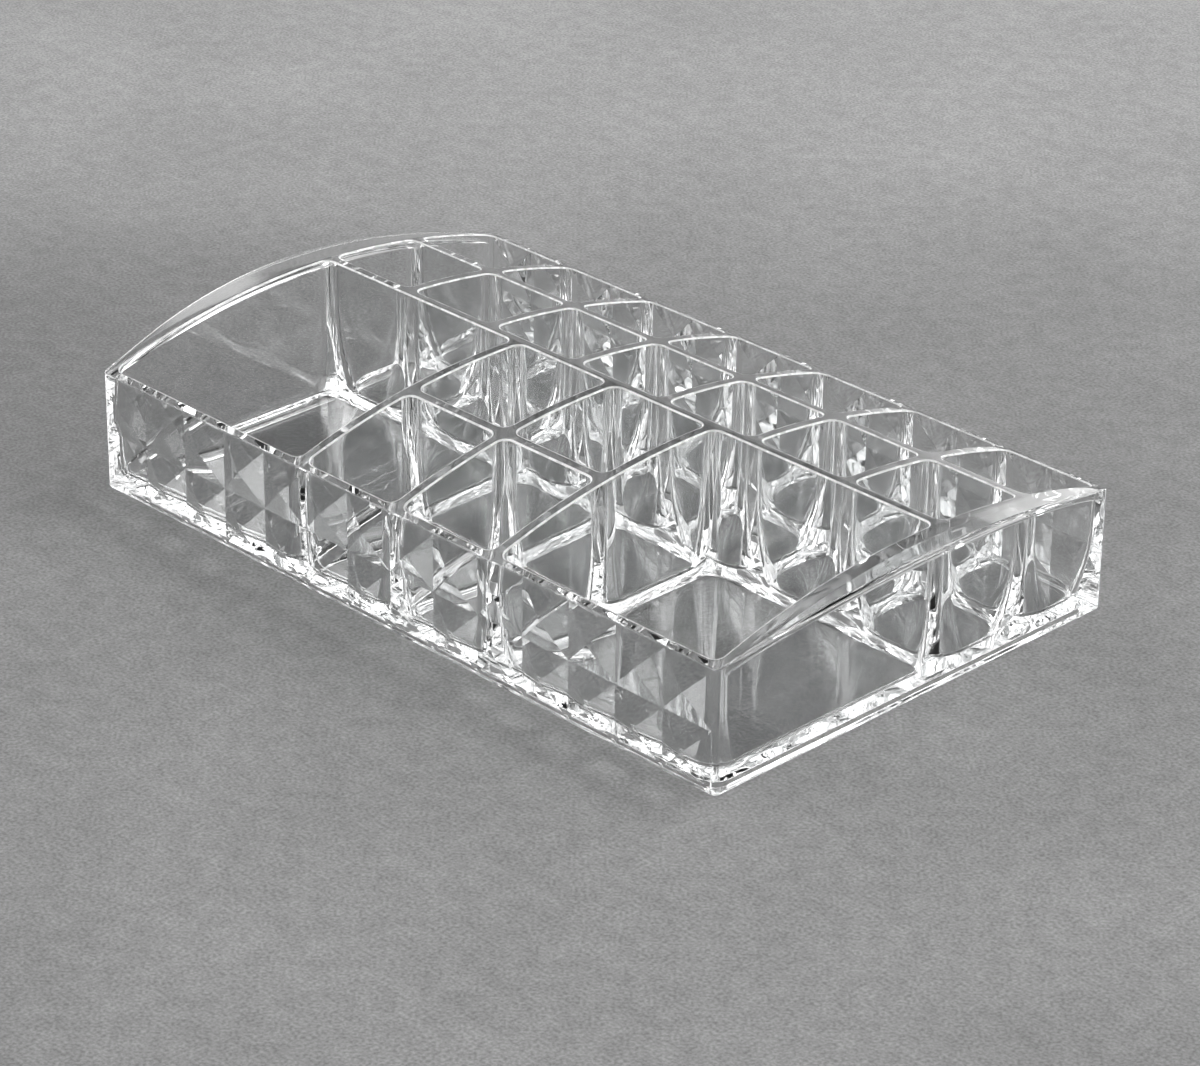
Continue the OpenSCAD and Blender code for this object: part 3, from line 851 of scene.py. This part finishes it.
class TRAY_OT_end_walls(bpy.types.Operator):
    """Builds the two plain arched end walls"""

    bl_idname = "tray.end_walls"
    bl_label = "End walls"

    def execute(self, context):
        z = zones()
        piece("left_end_wall", (None, -z.y, None), (-z.x, z.y, z.lip))
        piece("right_end_wall", (z.x, -z.y, None), (None, z.y, z.lip))
        return {"FINISHED"}


class TRAY_OT_handle_lips(bpy.types.Operator):
    """Builds the crescent lips that the tray is lifted by"""

    bl_idname = "tray.handle_lips"
    bl_label = "Handle lips"

    def execute(self, context):
        z = zones()
        piece("left_handle_lip", (None, -z.y, z.lip), (-z.x, z.y, None))
        piece("right_handle_lip", (z.x, -z.y, z.lip), (None, z.y, None))
        return {"FINISHED"}


class TRAY_OT_long_dividers(bpy.types.Operator):
    """Builds the dividers that run along the tray"""

    bl_idname = "tray.long_dividers"
    bl_label = "Long dividers"

    def execute(self, context):
        z = zones()
        p = z.p
        for node, y, crossed in (
                ("rear_long_divider", p.rear_y, p.rear_x), ("middle_long_divider", p.middle_y, ())):
            piece(
                node, (-z.x, y - z.half, z.floor), (z.x, y + z.half, None),
                [(0, x - z.half, x + z.half, False) for x in crossed])
        centre = p.front_x[1]
        piece(
            "front_short_divider",
            (p.front_x[0] + z.half, p.front_y - z.half, z.floor),
            (p.front_x[2] - z.half, p.front_y + z.half, None),
            [(0, centre - z.half, centre + z.half, False)])
        return {"FINISHED"}


class TRAY_OT_cross_dividers(bpy.types.Operator):
    """Builds the dividers that run across the tray"""

    bl_idname = "tray.cross_dividers"
    bl_label = "Cross dividers"

    def execute(self, context):
        z = zones()
        p = z.p
        for node, x in zip(REAR_CROSS, p.rear_x):
            piece(
                node, (x - z.half, p.middle_y + z.half, z.floor),
                (x + z.half, z.y, None), [(1, p.rear_y - z.half, p.rear_y + z.half, True)])
        for node, x in zip(FRONT_CROSS, p.front_x):
            crossed = [p.front_y] if node == FRONT_CROSS[1] else []
            piece(
                node, (x - z.half, -z.y, z.floor),
                (x + z.half, p.middle_y - z.half, None),
                [(1, y - z.half, y + z.half, True) for y in crossed])
        return {"FINISHED"}


def grey_ramp(tree, shares):
    """Colour ramp that keeps one grey along each of the tent's levels."""
    ramp = tree.nodes.new("ShaderNodeValToRGB")
    ramp.color_ramp.interpolation = "EASE"
    elements = ramp.color_ramp.elements
    stops = [(height, share) for level, share in zip(LEVELS, shares) for height in level]
    while len(elements) < len(stops):
        elements.new(1)
    for element, (height, share) in zip(elements, stops):
        element.position = height
        element.color = (share, share, share, 1)
    return ramp


def studio_world(f):
    """Soft light from a tent round the table, split by dark flags, with little from above."""
    world = bpy.data.worlds.new("studio")
    world.use_nodes = True
    tree = world.node_tree
    nodes, links = tree.nodes, tree.links
    coords = nodes.new("ShaderNodeTexCoord").outputs["Generated"]
    split = nodes.new("ShaderNodeSeparateXYZ")
    links.new(coords, split.inputs[0])
    level = nodes.new("ShaderNodeVectorMath")
    level.operation = "MULTIPLY"
    level.inputs[1].default_value = (1, 1, 0)
    links.new(coords, level.inputs[0])
    heading = nodes.new("ShaderNodeVectorMath")
    heading.operation = "NORMALIZE"
    links.new(level.outputs["Vector"], heading.inputs[0])
    base = grey_ramp(tree, LEFT_LIGHT)
    links.new(split.outputs["Z"], base.inputs[0])
    shown = base.outputs["Color"]
    for turn, half, shares in TENT:
        ramp = grey_ramp(tree, shares)
        links.new(split.outputs["Z"], ramp.inputs[0])
        angle = math.radians(turn)
        toward = nodes.new("ShaderNodeVectorMath")
        toward.operation = "DOT_PRODUCT"
        toward.inputs[1].default_value = (math.cos(angle), math.sin(angle), 0)
        links.new(heading.outputs["Vector"], toward.inputs[0])
        outside, inside = (math.cos(math.radians(half + blur)) for blur in (TENT_BLUR, -TENT_BLUR))
        mix = nodes.new("ShaderNodeMix")
        mix.data_type = "RGBA"
        share = spread(tree, toward.outputs["Value"], outside, inside, 0, 1, smooth=True)
        links.new(share, mix.inputs["Factor"])
        links.new(shown, mix.inputs["A"])
        links.new(ramp.outputs["Color"], mix.inputs["B"])
        shown = mix.outputs["Result"]
    links.new(shown, nodes["Background"].inputs["Color"])
    nodes["Background"].inputs["Strength"].default_value = f.sky
    return world


def floor_paper(colour):
    """Matt paper with faint clouds and a fine grain, with painted shade behind the tray, a painted
    shadow left of it and painted light toward the back.
    """
    paper = bpy.data.materials.new("floor_paper")
    paper.use_nodes = True
    tree = paper.node_tree
    nodes, links = tree.nodes, tree.links
    shader = nodes["Principled BSDF"]
    shader.inputs["Roughness"].default_value = PAPER_ROUGHNESS
    shader.inputs["Specular IOR Level"].default_value = PAPER_SPECULAR
    coords = nodes.new("ShaderNodeTexCoord").outputs["Object"]
    shade = 1
    for scale, detail, swing in PAPER_NOISE:
        grain = noise(tree, coords, scale, detail).outputs["Fac"]
        shade = product(tree, shade, spread(tree, grain, *NOISE_RANGE, 1 - swing, 1 + swing))
    away = nodes.new("ShaderNodeVectorMath")
    away.operation = "DOT_PRODUCT"
    away.inputs[1].default_value = AWAY
    aside = nodes.new("ShaderNodeVectorMath")
    aside.operation = "DISTANCE"
    aside.inputs[1].default_value = PAINTED_SHADOW_SPOT
    for source in (away, aside):
        links.new(coords, source.inputs[0])
    # Painted shade behind the tray, painted light toward the back and a painted shadow round the spot
    # left of the tray
    for source, (places, tones) in ((away, PAINTED_SHADE_BEHIND_TRAY), (away, PAINTED_LIGHT_TOWARD_BACK), (aside, PAINTED_SHADOW_FADE)):
        fade = spread(tree, source.outputs["Value"], *places, *tones, smooth=True)
        shade = product(tree, shade, fade)
    tone = nodes.new("ShaderNodeVectorMath")
    tone.operation = "SCALE"
    tone.inputs[0].default_value = colour
    links.new(shade, tone.inputs["Scale"])
    links.new(tone.outputs["Vector"], shader.inputs["Base Color"])
    return paper


def lamp(name, place, size, power):
    """Flat lamp that looks at the middle of the tray."""
    light = bpy.data.lights.new(name, "AREA")
    light.shape = "RECTANGLE"
    light.size, light.size_y = size
    light.energy = power
    obj = bpy.data.objects.new(name, light)
    bpy.context.scene.collection.objects.link(obj)
    obj.location = place
    obj.rotation_euler = Vector(place).to_track_quat("Z", "Y").to_euler()


def set_camera(scene):
    """Camera at the photograph's viewing angle."""
    camera = bpy.data.cameras.new("camera")
    camera.lens = LENS
    camera.sensor_width = SENSOR
    camera.clip_start, camera.clip_end = CLIP
    eye = bpy.data.objects.new("camera", camera)
    eye.location = EYE
    eye.rotation_euler = EYE_TURN
    scene.collection.objects.link(eye)
    scene.camera = eye


def lay_paper(scene, colour):
    """Sheet of paper under the tray, which is part of the stage."""
    bm = bmesh.new()
    ground = bmesh.ops.create_grid(bm, x_segments=1, y_segments=1, size=PAPER_HALF)["verts"]
    bmesh.ops.translate(bm, vec=(0, 0, -PAPER_DROP), verts=ground)
    mesh = bpy.data.meshes.new("floor")
    bm.to_mesh(mesh)
    bm.free()
    paper = bpy.data.objects.new("floor", mesh)
    scene.collection.objects.link(paper)
    mesh.materials.append(floor_paper(colour))


class TRAY_OT_stage(bpy.types.Operator):
    """Sets the floor, the soft light and the camera"""

    bl_idname = "tray.stage"
    bl_label = "Floor, light and camera"

    def execute(self, context):
        f = finish()
        scene = context.scene
        set_camera(scene)
        lay_paper(scene, f.floor_colour)
        scene.world = studio_world(f)
        lamp("softbox", SOFTBOX_PLACE, SOFTBOX_SIZE, f.softbox)
        lamp("left_softbox", LEFT_SOFTBOX_PLACE, LEFT_SOFTBOX_SIZE, f.left_softbox)
        scene.view_settings.view_transform = "Standard"
        scene.cycles.max_bounces = 32
        scene.cycles.transmission_bounces = 28
        scene.cycles.glossy_bounces = 16
        scene.cycles.diffuse_bounces = 3
        scene.cycles.transparent_max_bounces = 64
        scene.cycles.caustics_refractive = True
        scene.cycles.caustics_reflective = True
        scene.cycles.blur_glossy = 0
        return {"FINISHED"}


OPERATORS = (
    TRAY_OT_floor_panel, TRAY_OT_facet_walls, TRAY_OT_end_walls, TRAY_OT_handle_lips,
    TRAY_OT_long_dividers, TRAY_OT_cross_dividers, TRAY_OT_stage,
)


class TRAY_PT_tray(bpy.types.Panel):
    """Lists the tray's pieces and the stage"""

    bl_idname = "TRAY_PT_tray"
    bl_label = "Clear vanity tray"
    bl_space_type = "VIEW_3D"
    bl_region_type = "UI"
    bl_category = "Tray"

    def draw(self, context):
        for operator in OPERATORS:
            self.layout.operator(operator.bl_idname)


CLASSES = (TraySizes, TrayFinish) + OPERATORS + (TRAY_PT_tray,)


def register():
    for cls in CLASSES:
        bpy.utils.register_class(cls)
    bpy.types.Scene.tray_sizes = PointerProperty(type=TraySizes)
    bpy.types.Scene.tray_finish = PointerProperty(type=TrayFinish)


def unregister():
    del bpy.types.Scene.tray_finish
    del bpy.types.Scene.tray_sizes
    for cls in reversed(CLASSES):
        bpy.utils.unregister_class(cls)


def main():
    register()
    for operator in OPERATORS:
        name = operator.bl_idname.split(".")[1]
        getattr(bpy.ops.tray, name)()
    bpy.data.meshes.remove(bpy.data.meshes[FLAT_NAME])


if __name__ == "__main__":
    main()
